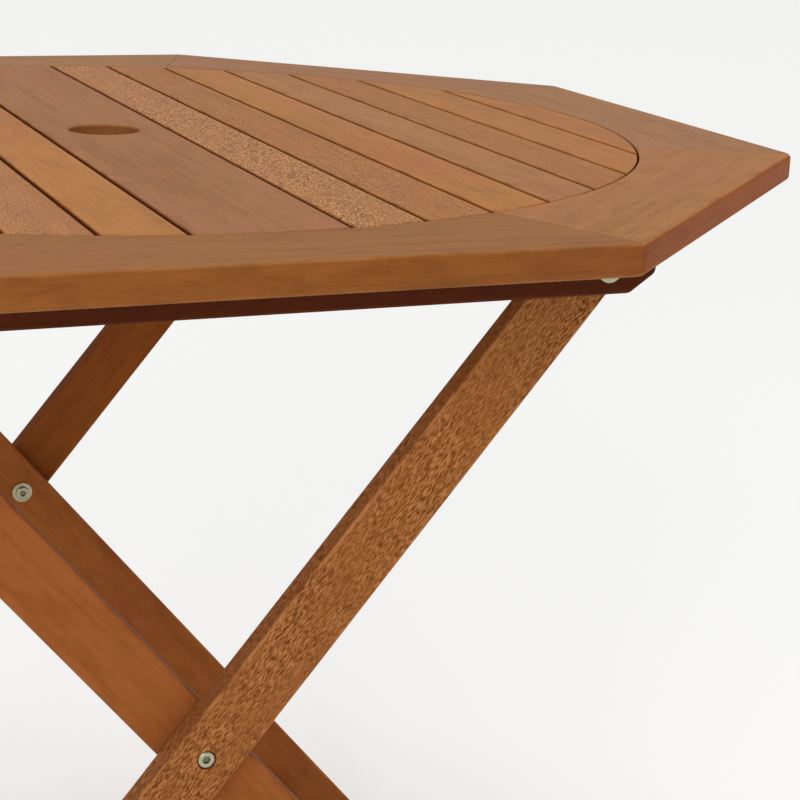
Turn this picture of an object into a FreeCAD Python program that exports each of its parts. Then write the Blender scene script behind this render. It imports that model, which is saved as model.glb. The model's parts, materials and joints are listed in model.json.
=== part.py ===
"""Folding octagonal garden table: a round slatted field in a mitred ring, on two crossed leg frames.

Millimetres. X runs across the slats, Y along them, Z up; the origin is on the floor under the
middle of the top. The leg frames cross in planes parallel to XZ, one crossing at each rail.
"""
import FreeCAD
import Part
import math
import os

V = FreeCAD.Vector

# ---- overall -------------------------------------------------------------------------------
height = 740.0                  # floor to the upper face of the top
across_flats = 900.0            # octagon, flat to opposite flat
top_thickness = 19.0            # ring boards and slats alike

# ---- ring and slats ------------------------------------------------------------------------
ring_width = 73.5               # narrowest width of a ring board, at its middle
corner_radius = 12.0            # upright corners of the octagon
rim_radius = 3.6                # rounding of the outer rim, above and below
arris_radius = 1.1              # eased edges of slats and of the round opening
mitre_gap = 0.4                 # hairline between neighbouring ring boards
plank_width = 89.4              # middle plank
slat_width = 44.5
slat_gap = 3.6
end_gap = 1.3                   # between the slat ends and the ring
tongue_thickness = 6.0
tongue_length = 6.5             # past the round opening, into the groove
tongue_clearance = 0.2          # above the tongue, in the groove
groove_depth = 8.0
parasol_radius = 25.0
mitre_dowel_diameter = 8.0
mitre_dowel_length = 40.0
mitre_dowel_inner_margin = 23.0 # round opening to the inner dowel's middle, along the mitre
mitre_dowel_outer_margin = 36.8 # octagon's sharp corner to the outer dowel's middle

# ---- rails and battens under the top -------------------------------------------------------
rail_inset = 138.6              # flat edge of the top to the rail's outer face
rail_thickness = 18.0
rail_height = 44.0
rail_end_margin = 33.5          # pivot to the rail's end
rail_end_screw_margin = 12.6    # rail's end to its last screw
rail_chamfer_length = 18.0
rail_chamfer_height = 12.5
batten_offset = 108.0           # middle of the top to a batten's middle
batten_width = 36.0
batten_thickness = 15.0
batten_lap = 32.0               # past the round opening, under the ring

# ---- leg frames ----------------------------------------------------------------------------
leg_width = 43.0
leg_thickness = 18.0
leg_edge_radius = 2.2
foot_corner_radius = 4.0
pivot_inset = 208.8             # edge of the top to the rail pivot
bar_inset = 188.0               # opposite edge of the top to the top bar
crossing_drop = 305.0           # rail pivot down to the crossing
side_gap = 2.0                  # between rail, outer leg and inner leg
bar_diameter = 24.0
bar_socket = 11.0               # depth of the bar in each inner leg
slide_gap = 0.5                 # top bar to the battens it passes under
leg_end_gap = 4.0               # rounded leg end to the underside of the top
foot_rail_height = 80.0         # floor to the middle of the foot rails, on the leg's line
foot_rail_width = 43.0
foot_rail_thickness = 18.0
foot_rail_screw_spacing = 21.5

# ---- hardware ------------------------------------------------------------------------------
bolt_diameter = 6.0
bolt_clearance = 0.1            # on the radius, in every hole that turns on a bolt
bolt_head_diameter = 11.2
bolt_head_height = 3.0
bolt_bevel = 0.7
bolt_socket = 4.5               # across the flats of the hexagon socket
bolt_socket_depth = 2.0
head_pocket_radius = 6.3
head_pocket_depth = 3.4
sleeve_diameter = 8.0           # sleeve of a nut, inside the leg
sleeve_length = 11.0
sleeve_end_gap = 1.0            # past a sleeve's end, and past a bolt's end inside it
washer_radius = 8.6
washer_thickness = 1.4
nut_pocket_radius = 9.3
nut_pocket_gap = 0.3            # a sunk nut's head to the leg's face
spacer_radius = 11.0
washer_play = 0.2               # on each side of a spacer, and under a nut's washer
screw_diameter = 4.0
screw_head_diameter = 8.0
screw_head_height = 2.6
screw_tip = 3.0
screw_tip_radius = 0.4
recess_width = 1.0
recess_span = 4.4
recess_depth = 1.5
batten_screw_length = 26.0
rail_screw_length = 30.0
rail_screw_pocket = 24.0        # depth of the pocket that sinks a rail screw's head
rail_screw_pocket_radius = 5.0
frame_screw_length = 40.0
block_screw_length = 48.0

# ---- stop blocks and locking hooks ---------------------------------------------------------
block_length = 40.0             # along X
block_width = 45.0              # along Y
block_height = 40.0
block_offset = 185.0            # middle of the top to a block's middle, along Y
block_gap = 0.4                 # block to the top bar
block_screw_margin = 9.0        # block's end to a screw's middle, at least
block_screw_gap = 6.0           # tip of the hook's screw to the nearer block screw's middle
block_screw_spacing = 11.0
hook_thickness = 3.0
hook_edge_radius = 0.5
hook_play = 0.5                 # hook plate to the block, and under the screw's head
hook_bar_gap = 1.5              # inside of the hook to the bar when it is closed
hook_band = 8.0                 # width of the hook's curved band
hook_arm_width = 12.8           # at the eye
hook_neck_width = 14.1          # where the arm meets the band, square to it
hook_eye_radius = 8.0
hook_mouth_angle = 172.0        # where the closed hook ends, round the bar from +X
hook_swing = 64.0               # closed to hanging, in degrees
hook_screw_diameter = 6.0
hook_screw_head_radius = 6.0
hook_screw_head_height = 3.0
hook_screw_length = 22.0
hook_screw_socket = 3.6         # across the flats of the hexagon socket
hook_screw_socket_depth = 1.6
hook_pivot_drop = 24.0          # underside of the top to the hook's pivot
hook_pivot_inset = 20.0         # block's face at the bar to the hook's pivot

# ---- worked out from the values above ------------------------------------------------------
apothem = across_flats / 2
field_radius = apothem - ring_width
underside = height - top_thickness
batten_under = underside - batten_thickness
bar_radius = bar_diameter / 2
pivot_z = underside - max(batten_thickness + slide_gap + bar_radius, leg_width / 2 + leg_end_gap)
pivot_x = apothem - pivot_inset
bar_x = -(apothem - bar_inset)
cross_x = (pivot_x + bar_x) / 2
cross_z = pivot_z - crossing_drop
half_length = math.hypot(pivot_x - cross_x, pivot_z - cross_z)
leg_angle = math.degrees(math.atan2(pivot_z - cross_z, pivot_x - cross_x))
rail_outer = apothem - rail_inset
rail_inner = rail_outer - rail_thickness
outer_leg_outer = rail_inner - side_gap
outer_leg_inner = outer_leg_outer - leg_thickness
inner_leg_outer = outer_leg_inner - side_gap
inner_leg_inner = inner_leg_outer - leg_thickness
rail_half_length = pivot_x + rail_end_margin
nut_pocket_floor = outer_leg_inner + nut_pocket_gap + bolt_head_height + washer_thickness + washer_play
slat_pitch = slat_width + slat_gap
first_slat = plank_width / 2 + slat_gap
slats_each_side = round((field_radius - plank_width / 2) / slat_pitch)
tongue_z = height - (top_thickness + tongue_thickness) / 2
batten_half_length = field_radius + batten_lap


# ---- helpers -------------------------------------------------------------------------------
def box(x0, x1, y0, y1, z0, z1):
    """Box between two corners."""
    return Part.makeBox(x1 - x0, y1 - y0, z1 - z0, V(x0, y0, z0))


def rod(radius, start, end):
    """Round rod from one point to another."""
    axis = end - start
    return Part.makeCylinder(radius, axis.Length, start, axis)


def prism(points, y0, y1):
    """Outline of (x, z) points, carried along Y."""
    corners = [V(x, y0, z) for x, z in points]
    face = Part.Face(Part.makePolygon(corners + corners[:1]))
    return face.extrude(V(0, y1 - y0, 0))


def hexagon(width, centre, axis, length):
    """Hexagon bar of a width across flats, from a centre along a unit axis that lies along Y or Z."""
    across = V(1, 0, 0)
    up = axis.cross(across)
    reach = width / math.sqrt(3)
    corners = []
    for step in range(6):
        turn = math.radians(60 * step)
        corners.append(centre + across * (reach * math.cos(turn)) + up * (reach * math.sin(turn)))
    face = Part.Face(Part.makePolygon(corners + corners[:1]))
    return face.extrude(axis * length)


def edges_where(shape, test):
    """Edges of a shape whose every sampled point passes the test."""
    found = []
    for edge in shape.Edges:
        points = edge.discretize(Number=5)
        if all(test(point) for point in points):
            found.append(edge)
    return found


def ease_faces(shape, radius, axis, places):
    """Rounds all edges that lie in the planes at the given places along an axis (0, 1 or 2)."""
    chosen = edges_where(shape, lambda p: any(abs(p[axis] - place) < 1e-4 for place in places))
    return shape.makeFillet(radius, chosen)


def mirrored(shape):
    """The same piece on the far side of the table."""
    return shape.mirror(V(0, 0, 0), V(0, 1, 0))


def at_cross(distance, side, offset=0.0):
    """Point on a leg's line: distance up from the crossing, side 1 outer leg or -1 inner leg.

    offset moves it square to the leg, towards the leg's upper edge.
    """
    turn = math.radians(leg_angle)
    x = cross_x + side * (distance * math.cos(turn) - offset * math.sin(turn))
    z = cross_z + distance * math.sin(turn) + offset * math.cos(turn)
    return x, z


# ---- fasteners -----------------------------------------------------------------------------
def screw_solid(head, direction, length, recess=True):
    """Countersunk wood screw: its head's flat face at a point, its tip along a unit direction."""
    neck = head + direction * screw_head_height
    tip_start = head + direction * (length - screw_tip)
    cone = Part.makeCone(screw_head_diameter / 2, screw_diameter / 2, screw_head_height, head, direction)
    shank = rod(screw_diameter / 2, neck, tip_start)
    tip = Part.makeCone(screw_diameter / 2, screw_tip_radius, screw_tip, tip_start, direction)
    body = cone.fuse([shank, tip]).removeSplitter()
    if not recess:
        return body
    cross = box(-recess_span / 2, recess_span / 2, -recess_width / 2, recess_width / 2, 0, recess_depth)
    cross = cross.fuse(cross.rotated(V(0, 0, 0), V(0, 0, 1), 90))
    turn = FreeCAD.Rotation(V(0, 0, 1), direction)
    cross.Placement = FreeCAD.Placement(head, turn)
    return body.cut(cross)


class Screws:
    """A set of like screws that share one node, with the holes that they need."""

    def __init__(self):
        self.solids = []
        self.holes = []

    def add(self, head, direction, length):
        self.solids.append(screw_solid(head, direction, length))
        self.holes.append(screw_solid(head, direction, length, recess=False))

    def drill(self, shape):
        """A piece with the holes of those screws that reach into it."""
        near = [hole for hole in self.holes if hole.BoundBox.intersect(shape.BoundBox)]
        return shape.cut(near) if near else shape

    def node(self):
        return Part.makeCompound(self.solids)


def socket_head(seat, direction):
    """Flat bevelled head with a hexagon socket; it stands on the seat point, facing back."""
    crown = seat - direction * bolt_head_height
    head = Part.makeCylinder(bolt_head_diameter / 2, bolt_head_height, crown, direction)
    rims = [edge for edge in head.Edges if abs((edge.CenterOfMass - crown).dot(direction)) < 1e-6
            and len(edge.Vertexes) == 1]
    head = head.makeChamfer(bolt_bevel, rims)
    return head.cut(hexagon(bolt_socket, crown, direction, bolt_socket_depth))


def bolt_solid(seat, end):
    """Bolt from its head's seat to its end."""
    direction = V(0, 1 if end.y > seat.y else -1, 0)
    shank = rod(bolt_diameter / 2, seat, end)
    return socket_head(seat, direction).fuse(shank).removeSplitter()


def sleeve_nut(seat, direction):
    """Nut with the same head as the bolt and a threaded sleeve that runs into the leg."""
    mouth = seat + direction * sleeve_length
    sleeve = rod(sleeve_diameter / 2, seat, mouth).cut(rod(bolt_diameter / 2, seat, mouth))
    return socket_head(seat, direction).fuse(sleeve).removeSplitter()


def washer(radius, thickness, hole, face):
    """Flat washer on a face point, standing off it along -Y."""
    direction = V(0, -1, 0)
    return Part.makeCylinder(radius, thickness, face, direction).cut(
        Part.makeCylinder(hole, thickness, face, direction))


# ---- tabletop ------------------------------------------------------------------------------
def octagon_ring():
    """Whole octagon with its round opening and groove, before it is cut into boards."""
    reach = apothem / math.cos(math.pi / 8)
    corners = [V(reach * math.cos(math.radians(22.5 + 45 * k)),
                 reach * math.sin(math.radians(22.5 + 45 * k)), underside) for k in range(8)]
    slab = Part.Face(Part.makePolygon(corners + corners[:1])).extrude(V(0, 0, top_thickness))
    uprights = [edge for edge in slab.Edges if abs(edge.tangentAt(edge.FirstParameter).z) > 0.99]
    slab = slab.makeFillet(corner_radius, uprights)
    slab = ease_faces(slab, rim_radius, 2, (underside, height))
    slab = slab.cut(Part.makeCylinder(field_radius, top_thickness, V(0, 0, underside)))
    rims = [edge for edge in slab.Edges if abs(edge.BoundBox.XMax - field_radius) < 0.01
            and edge.BoundBox.ZLength < 0.01]
    slab = slab.makeFillet(arris_radius, rims)
    groove = Part.makeCylinder(field_radius + groove_depth, tongue_thickness + tongue_clearance,
                               V(0, 0, tongue_z))
    return slab.cut(groove)


def mitre_dowels():
    """Pairs of dowels across the eight mitres."""
    reach = apothem / math.cos(math.pi / 8)
    dowels = []
    for k in range(8):
        turn = math.radians(22.5 + 45 * k)
        along = V(math.cos(turn), math.sin(turn), 0)
        across = V(-math.sin(turn), math.cos(turn), 0) * (mitre_dowel_length / 2)
        for distance in (field_radius + mitre_dowel_inner_margin, reach - mitre_dowel_outer_margin):
            middle = along * distance + V(0, 0, height - top_thickness / 2)
            dowels.append(rod(mitre_dowel_diameter / 2, middle - across, middle + across))
    return dowels


def ring_board(ring, k, dowels):
    """Board k of the ring, between the mitres each side of its middle line."""
    far = apothem * 2
    half = math.radians(22.5)
    inset = mitre_gap / 2 / math.sin(half)
    wedge_points = [V(inset, 0, underside), V(inset + far * math.cos(half), -far * math.sin(half), underside),
                    V(inset + far * math.cos(half), far * math.sin(half), underside)]
    wedge = Part.Face(Part.makePolygon(wedge_points + wedge_points[:1])).extrude(V(0, 0, top_thickness))
    wedge.rotate(V(0, 0, 0), V(0, 0, 1), 45 * k)
    return ring.common(wedge).cut(dowels)


def slat(x0, x1):
    """Slat between two lines, its ends on the round opening, with a tongue round each end."""
    body = box(x0, x1, -apothem, apothem, underside, height)
    body = body.common(Part.makeCylinder(field_radius - end_gap, top_thickness, V(0, 0, underside)))
    body = ease_faces(body, arris_radius, 2, (underside, height))
    tongue = box(x0, x1, -apothem, apothem, tongue_z, tongue_z + tongue_thickness)
    reach = Part.makeCylinder(field_radius + tongue_length, tongue_thickness, V(0, 0, tongue_z))
    tongue = tongue.common(reach)
    return body.fuse(tongue).removeSplitter()


def slats():
    """Middle plank with the parasol hole, and the slats each side of it."""
    plank = slat(-plank_width / 2, plank_width / 2)
    plank = plank.cut(Part.makeCylinder(parasol_radius, top_thickness, V(0, 0, underside)))
    rims = [edge for edge in plank.Edges if abs(edge.BoundBox.XMax - parasol_radius) < 0.01
            and edge.BoundBox.ZLength < 0.01]
    made = {"middle_plank": plank.makeFillet(arris_radius, rims)}
    for n in range(1, slats_each_side + 1):
        start = first_slat + (n - 1) * slat_pitch
        stop = start + slat_width if n < slats_each_side else apothem
        made[f"slat_right_{n}"] = slat(start, stop)
        made[f"slat_left_{n}"] = slat(-stop, -start)
    return made


def batten(side):
    """Flat batten under all the slats, beside the parasol hole."""
    middle = side * batten_offset
    blank = box(-batten_half_length, batten_half_length, middle - batten_width / 2,
                middle + batten_width / 2, batten_under, underside)
    return ease_faces(blank, arris_radius, 2, (batten_under,))


def slat_middles():
    """Middle lines of the plank and of every slat, from left to right."""
    right = [first_slat + (n - 0.5) * slat_pitch - slat_gap / 2 for n in range(1, slats_each_side + 1)]
    return [-x for x in reversed(right)] + [0.0] + right


def batten_screws():
    """One screw through each batten into every slat, and one into the ring at each end."""
    screws = Screws()
    ends = batten_half_length - batten_lap / 2
    for side in (-1, 1):
        for x in [-ends] + slat_middles() + [ends]:
            screws.add(V(x, side * batten_offset, batten_under), V(0, 0, 1), batten_screw_length)
    return screws


def rail(side):
    """Rail that carries one pair of pivots; its lower corners are cut back and softened."""
    low = underside - rail_height
    half = rail_half_length
    outline = [(-half, underside), (-half, low + rail_chamfer_height), (-half + rail_chamfer_length, low),
               (half - rail_chamfer_length, low), (half, low + rail_chamfer_height), (half, underside)]
    blank = prism(outline, rail_inner, rail_outer)
    across = [edge for edge in blank.Edges if edge.BoundBox.ZMax < underside - 1
              and edge.BoundBox.YLength > rail_thickness / 2]
    blank = blank.makeFillet(rail_chamfer_height / 2, across)
    rims = edges_where(blank, lambda p: min(abs(p.y - rail_outer), abs(p.y - rail_inner)) < 1e-4)
    rims = [edge for edge in rims if edge.BoundBox.ZMin < underside - 1]
    blank = blank.makeFillet(leg_edge_radius, rims)
    bore = rod(bolt_diameter / 2 + bolt_clearance, V(pivot_x, rail_inner - 1, pivot_z),
               V(pivot_x, rail_outer + 1, pivot_z))
    blank = blank.cut(bore)
    return blank if side > 0 else mirrored(blank)


def rail_screw_places():
    """Places along a rail: under the plank, every other slat, and the ring at both ends."""
    ends = rail_half_length - rail_end_screw_margin
    reach = math.sqrt(field_radius ** 2 - rail_inner ** 2)
    middles = [x for x in slat_middles()[::2] if abs(x) < reach - slat_width / 2]
    return sorted(set([-ends, ends] + middles + [-x for x in middles]))


def rail_screws(pockets):
    """Long screws up through the rails, their heads sunk in pockets."""
    screws = Screws()
    low = underside - rail_height
    for side in (-1, 1):
        y = side * (rail_inner + rail_outer) / 2
        for x in rail_screw_places():
            pockets.append(rod(rail_screw_pocket_radius, V(x, y, low - 1), V(x, y, low + rail_screw_pocket)))
            screws.add(V(x, y, low + rail_screw_pocket), V(0, 0, 1), rail_screw_length)
    return screws


def stop_block(side):
    """Block that the top bar stands against when the table is open."""
    x0 = bar_x + bar_radius + block_gap
    y = side * block_offset
    blank = box(x0, x0 + block_length, y - block_width / 2, y + block_width / 2,
                underside - block_height, underside)
    lower = [edge for edge in blank.Edges if edge.BoundBox.ZMin < underside - 1]
    return blank.makeFillet(leg_edge_radius, lower)


def block_screws():
    """Two screws up through each stop block into the slat above it, clear of the hook's screw."""
    screws = Screws()
    start = bar_x + bar_radius + block_gap
    nearest = min(slat_middles(), key=lambda middle: abs(middle - start - block_length / 2))
    x = max(start + block_screw_margin, min(start + block_length - block_screw_margin, nearest))
    first_y = block_offset - block_width / 2 + hook_screw_length + block_screw_gap
    for side in (-1, 1):
        for y in (first_y, first_y + block_screw_spacing):
            screws.add(V(x, side * y, underside - block_height), V(0, 0, 1), block_screw_length)
    return screws


def hook_pivot():
    """Pivot of the locking hooks, as (x, z)."""
    return bar_x + bar_radius + block_gap + hook_pivot_inset, underside - hook_pivot_drop


def hook(side):
    """Flat steel hook, hanging open; it swings up round the top bar to lock it."""
    face = side * (block_offset - block_width / 2) - side * hook_play
    y0, y1 = sorted((face, face - side * hook_thickness))
    px, pz = hook_pivot()
    inner = bar_radius + hook_bar_gap
    outer = inner + hook_band
    start = V(bar_x, y0, pivot_z)
    thick = V(0, 1, 0)
    band = Part.makeCylinder(outer, hook_thickness, start, thick).cut(
        Part.makeCylinder(inner, hook_thickness, start, thick))
    reach = outer * 2
    mouth = math.radians(hook_mouth_angle)
    toward_pivot = math.atan2(pz - pivot_z, px - bar_x)
    opening = [(bar_x, pivot_z)]
    steps = 4
    for step in range(steps + 1):
        turn = mouth + (toward_pivot - mouth) * step / steps
        opening.append((bar_x + reach * math.cos(turn), pivot_z + reach * math.sin(turn)))
    band = band.cut(prism(opening, y0, y1))
    middle = V(bar_x + (inner + outer) / 2 * math.cos(toward_pivot), y0,
               pivot_z + (inner + outer) / 2 * math.sin(toward_pivot))
    eye = Part.makeCylinder(hook_eye_radius, hook_thickness, V(px, y0, pz), thick)
    along = V(px - middle.x, 0, pz - middle.z)
    square = V(-along.z, 0, along.x) / along.Length
    eye_side = square * (hook_arm_width / 2)
    neck_low = middle - square * (hook_neck_width / 2)
    arm = [(middle.x, middle.z), (px + eye_side.x, pz + eye_side.z), (px - eye_side.x, pz - eye_side.z),
           (neck_low.x, neck_low.z)]
    plate = band.fuse([eye, prism(arm, y0, y1)]).removeSplitter()
    plate = plate.cut(Part.makeCylinder(inner, hook_thickness, start, thick))
    plate = plate.cut(Part.makeCylinder(hook_screw_diameter / 2 + bolt_clearance, hook_thickness,
                                        V(px, y0, pz), thick))
    plate = ease_faces(plate, hook_edge_radius, 1, (y0, y1))
    return plate.rotated(V(px, y0, pz), V(0, 1, 0), -hook_swing)


def hook_screws():
    """Shoulder screws that the hooks turn on."""
    px, pz = hook_pivot()
    made = []
    for side in (-1, 1):
        face = side * (block_offset - block_width / 2)
        head_y = face - side * (hook_play * 2 + hook_thickness)
        inward = V(0, -side, 0)
        shank = rod(hook_screw_diameter / 2, V(px, head_y, pz), V(px, face + side * hook_screw_length, pz))
        head = Part.makeCylinder(hook_screw_head_radius, hook_screw_head_height, V(px, head_y, pz), inward)
        crown = V(px, head_y - side * hook_screw_head_height, pz)
        head = head.cut(hexagon(hook_screw_socket, crown, V(0, side, 0), hook_screw_socket_depth))
        made.append(shank.fuse(head).removeSplitter())
    return made


# ---- leg frames ----------------------------------------------------------------------------
def leg(side, y0, y1):
    """Leg through the crossing: side 1 leans to +X at its top, -1 to -X. Round top, level foot."""
    turn = math.radians(leg_angle)
    down = V(-side * math.cos(turn), 0, -math.sin(turn))
    square = V(side * -math.sin(turn), 0, math.cos(turn)) * (leg_width / 2)
    top = V(pivot_x if side > 0 else bar_x, y0, pivot_z)
    upper, lower = top + square, top - square
    upper_foot = upper + down * (upper.z / -down.z)
    lower_foot = lower + down * (lower.z / -down.z)
    crown = top - down * (leg_width / 2)
    wire = Part.Wire([Part.Arc(upper, crown, lower).toShape(), Part.makeLine(lower, lower_foot),
                      Part.makeLine(lower_foot, upper_foot), Part.makeLine(upper_foot, upper)])
    blank = Part.Face(wire).extrude(V(0, y1 - y0, 0))
    foot_edges = edges_where(blank, lambda p: abs(p.z) < 1e-4)
    foot_edges = [edge for edge in foot_edges if edge.BoundBox.YLength > leg_thickness / 2]
    blank = blank.makeFillet(foot_corner_radius, foot_edges)
    return ease_faces(blank, leg_edge_radius, 1, (y0, y1))


def turning_hole(x, z, y0, y1):
    """Hole for a bolt that something turns on."""
    return rod(bolt_diameter / 2 + bolt_clearance, V(x, y0 - 1, z), V(x, y1 + 1, z))


def sleeve_hole(x, z, face):
    """Hole for a nut's sleeve, from the face that its washer bears on."""
    depth = sleeve_length - washer_thickness - washer_play + sleeve_end_gap
    return rod(sleeve_diameter / 2 + bolt_clearance, V(x, face - 1, z), V(x, face + depth, z))


def outer_leg():
    """Leg on the far side between rail and inner leg: sunk nut at its top, sunk head at the crossing."""
    blank = leg(1, outer_leg_inner, outer_leg_outer)
    cuts = [turning_hole(pivot_x, pivot_z, outer_leg_inner, outer_leg_outer),
            turning_hole(cross_x, cross_z, outer_leg_inner, outer_leg_outer),
            sleeve_hole(pivot_x, pivot_z, nut_pocket_floor),
            rod(nut_pocket_radius, V(pivot_x, outer_leg_inner - 1, pivot_z),
                V(pivot_x, nut_pocket_floor, pivot_z)),
            rod(head_pocket_radius, V(cross_x, outer_leg_outer + 1, cross_z),
                V(cross_x, outer_leg_outer - head_pocket_depth, cross_z))]
    return blank.cut(cuts)


def inner_leg():
    """Leg on the far side inside the outer one: sleeve hole at the crossing, socket for the top bar."""
    blank = leg(-1, inner_leg_inner, inner_leg_outer)
    cuts = [turning_hole(cross_x, cross_z, inner_leg_inner, inner_leg_outer),
            sleeve_hole(cross_x, cross_z, inner_leg_inner),
            rod(bar_radius, V(bar_x, inner_leg_inner - 1, pivot_z),
                V(bar_x, inner_leg_inner + bar_socket, pivot_z))]
    return blank.cut(cuts)


def foot_distance():
    """From the crossing down a leg to the middle of the foot rails, as a negative distance."""
    return (foot_rail_height - cross_z) / math.sin(math.radians(leg_angle))


def leg_board(side, distance, offset, width, thickness, y0, y1):
    """Board square to the legs' planes, its width along the leg and its thickness across it."""
    corners = [at_cross(distance - width / 2, side, offset), at_cross(distance + width / 2, side, offset),
               at_cross(distance + width / 2, side, offset + thickness),
               at_cross(distance - width / 2, side, offset + thickness)]
    return prism(corners, y0, y1)


def ease_long(shape, radius):
    """Rounds the edges of a board that run along Y."""
    long_edges = [edge for edge in shape.Edges if edge.BoundBox.YLength > foot_rail_width]
    return shape.makeFillet(radius, long_edges)


def foot_rail(frame, leg_outer):
    """Board across the under edges of a frame's legs, where it is clear of the other frame's legs.

    frame is 1 for the outer frame and -1 for the inner one; leg_outer is its legs' outer side, along Y.
    """
    blank = leg_board(frame, foot_distance(), -leg_width / 2 - foot_rail_thickness, foot_rail_width,
                      foot_rail_thickness, -leg_outer, leg_outer)
    return ease_long(blank, leg_edge_radius)


def foot_rail_screws(frame, leg_inner, leg_outer):
    """Two screws through a foot rail into each leg of its frame."""
    screws = Screws()
    turn = math.radians(leg_angle)
    direction = V(-frame * math.sin(turn), 0, math.cos(turn))
    for side in (-1, 1):
        y = side * (leg_inner + leg_outer) / 2
        for shift in (-foot_rail_screw_spacing / 2, foot_rail_screw_spacing / 2):
            x, z = at_cross(foot_distance() + shift, frame, -leg_width / 2 - foot_rail_thickness)
            screws.add(V(x, y, z), direction, frame_screw_length)
    return screws


def top_bar_screws():
    """One screw through each inner leg into the end of the top bar."""
    screws = Screws()
    for side in (-1, 1):
        screws.add(V(bar_x, side * inner_leg_outer, pivot_z), V(0, -side, 0), frame_screw_length)
    return screws


def top_bar():
    """Round bar between the inner legs; it stands against the stop blocks under the top."""
    end = inner_leg_inner + bar_socket
    return rod(bar_radius, V(bar_x, -end, pivot_z), V(bar_x, end, pivot_z))


def pivot_set(name, x, z, head_seat, gap_face, nut_face, washer_under_head):
    """Bolt, nut and washers of one pivot on the far side.

    head_seat is where the bolt's head bears, gap_face the outer side of the gap that the spacer
    fills, and nut_face the face under the nut's washer, all along Y.
    """
    nut_seat = nut_face - washer_play - washer_thickness
    tip = V(x, nut_seat + sleeve_end_gap, z)
    rings = [washer(spacer_radius, side_gap - 2 * washer_play, bolt_diameter / 2,
                    V(x, gap_face - washer_play, z)),
             washer(washer_radius, washer_thickness, sleeve_diameter / 2, V(x, nut_face - washer_play, z))]
    if washer_under_head:
        rings.append(washer(washer_radius, washer_thickness, bolt_diameter / 2, V(x, head_seat, z)))
    return {f"{name}_bolt": bolt_solid(V(x, head_seat, z), tip),
            f"{name}_nut": sleeve_nut(V(x, nut_seat, z), V(0, 1, 0)),
            f"{name}_washers": Part.makeCompound(rings)}


def pivot_hardware():
    """Rail pivot and crossing of the far side."""
    made = pivot_set("rail_pivot", pivot_x, pivot_z, rail_outer + washer_thickness, rail_inner,
                     nut_pocket_floor, True)
    made.update(pivot_set("crossing", cross_x, cross_z, outer_leg_outer - head_pocket_depth,
                          outer_leg_inner, inner_leg_inner, False))
    return made


# ---- assembly ------------------------------------------------------------------------------
def build():
    """Every node of the table, by name."""
    nodes = {}
    pockets = []
    slat_screws = batten_screws()
    long_screws = rail_screws(pockets)
    stop_screws = block_screws()
    outer_screws = foot_rail_screws(1, outer_leg_inner, outer_leg_outer)
    inner_screws = foot_rail_screws(-1, inner_leg_inner, inner_leg_outer)
    bar_screws = top_bar_screws()
    shoulder_screws = hook_screws()

    ring = octagon_ring()
    dowels = mitre_dowels()
    for k in range(8):
        board = ring_board(ring, k, dowels)
        nodes[f"ring_board_{k + 1}"] = long_screws.drill(slat_screws.drill(board))
    for name, piece in slats().items():
        nodes[name] = stop_screws.drill(long_screws.drill(slat_screws.drill(piece)))
    nodes["mitre_dowels"] = Part.makeCompound(dowels)

    for side, where in ((-1, "front"), (1, "back")):
        nodes[f"batten_{where}"] = slat_screws.drill(batten(side))
        nodes[f"rail_{where}"] = long_screws.drill(rail(side).cut(pockets))
        block = stop_screws.drill(stop_block(side))
        nodes[f"stop_block_{where}"] = block.cut(shoulder_screws)
        nodes[f"locking_hook_{where}"] = hook(side)
    nodes["batten_screws"] = slat_screws.node()
    nodes["rail_screws"] = long_screws.node()
    nodes["stop_block_screws"] = stop_screws.node()
    nodes["hook_shoulder_screws"] = Part.makeCompound(shoulder_screws)

    outer_back, inner_back = outer_leg(), inner_leg()
    nodes["outer_leg_back"] = outer_screws.drill(outer_back)
    nodes["outer_leg_front"] = outer_screws.drill(mirrored(outer_back))
    nodes["outer_foot_rail"] = outer_screws.drill(foot_rail(1, outer_leg_outer))
    nodes["outer_frame_screws"] = outer_screws.node()
    nodes["inner_leg_back"] = bar_screws.drill(inner_screws.drill(inner_back))
    nodes["inner_leg_front"] = bar_screws.drill(inner_screws.drill(mirrored(inner_back)))
    nodes["inner_foot_rail"] = inner_screws.drill(foot_rail(-1, inner_leg_outer))
    nodes["top_bar"] = bar_screws.drill(top_bar())
    nodes["inner_frame_screws"] = inner_screws.node()
    nodes["top_bar_screws"] = bar_screws.node()
    for name, piece in pivot_hardware().items():
        nodes[f"{name}_back"] = piece
        nodes[f"{name}_front"] = mirrored(piece)
    return nodes


def main():
    os.makedirs("parts", exist_ok=True)
    for name, shape in build().items():
        bad = [solid for solid in shape.Solids if not solid.isValid() or solid.Volume <= 0]
        print(f"{name}: {len(shape.Solids)} solid(s), {shape.Volume / 1000:.1f} cm3", "BAD" if bad else "")
        shape.exportStep(f"parts/{name}.step")
    hook_x, hook_z = hook_pivot()
    print(f"rail pivot x {pivot_x:.3f} z {pivot_z:.3f}; crossing x {cross_x:.3f} z {cross_z:.3f}")
    print(f"leg angle {leg_angle:.4f} degrees; half length {half_length:.2f}; top bar x {bar_x:.3f}")
    print(f"hook pivot x {hook_x:.3f} z {hook_z:.3f}; slats each side {slats_each_side}")
    print(f"leg sides y {inner_leg_inner} {inner_leg_outer} {outer_leg_inner} {outer_leg_outer}")


main()
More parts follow.
